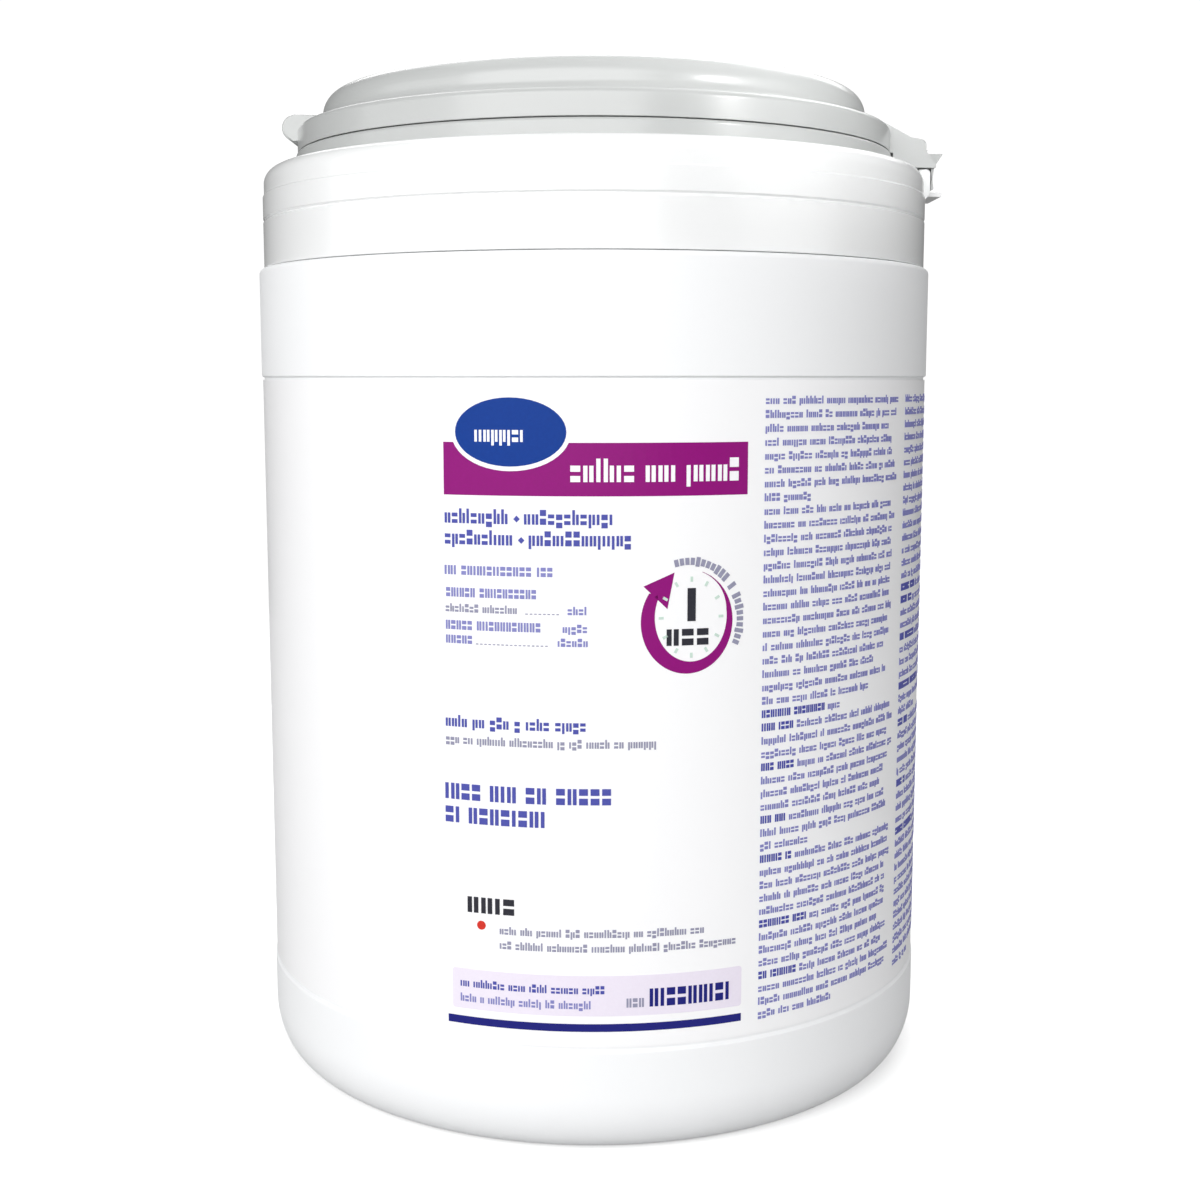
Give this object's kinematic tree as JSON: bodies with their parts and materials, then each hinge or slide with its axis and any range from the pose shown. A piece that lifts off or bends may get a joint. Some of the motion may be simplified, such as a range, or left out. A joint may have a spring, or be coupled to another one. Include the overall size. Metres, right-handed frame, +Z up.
{
  "type": "wipes canister",
  "caption": "Round white plastic canister of pre-moistened wipes with a wrap label, a push-on dispensing cap and a hinged round flip lid.",
  "frame": {"origin": "on the canister's axis, in the plane of the ring that the base stands on", "axes": "+Z up along the canister's axis, -Y towards the front of the label, +X towards the lid's hinge, -X towards its thumb tab"},
  "size_m": [0.1244, 0.1224, 0.176],
  "materials": {
    "tub_hdpe": "satin blow-moulded",
    "label_film": "glossy printed film",
    "wet_nonwoven": "damp nonwoven",
    "closure_pp": "semi-gloss injection-moulded"
  },
  "bodies": {
    "canister": {"canister_body": "tub_hdpe", "wrap_label": "label_film", "wipes_roll": "wet_nonwoven"},
    "cap": {"snap_cap": "closure_pp", "leading_wipe": "wet_nonwoven", "living_hinge": "closure_pp"},
    "lid": {"flip_lid": "closure_pp"}
  },
  "joints": [
    {"name": "cap_lift", "type": "slide", "parent": "canister", "child": "cap", "axis": [0, 0, 1], "range_m": [0, 0.06]},
    {"name": "lid_hinge", "type": "hinge", "parent": "cap", "child": "lid", "pos_m": [0.06085, 0, 0.1608], "axis": [0, 1, 0], "range_deg": [0, 100], "deforming": ["living_hinge"]}
  ]
}
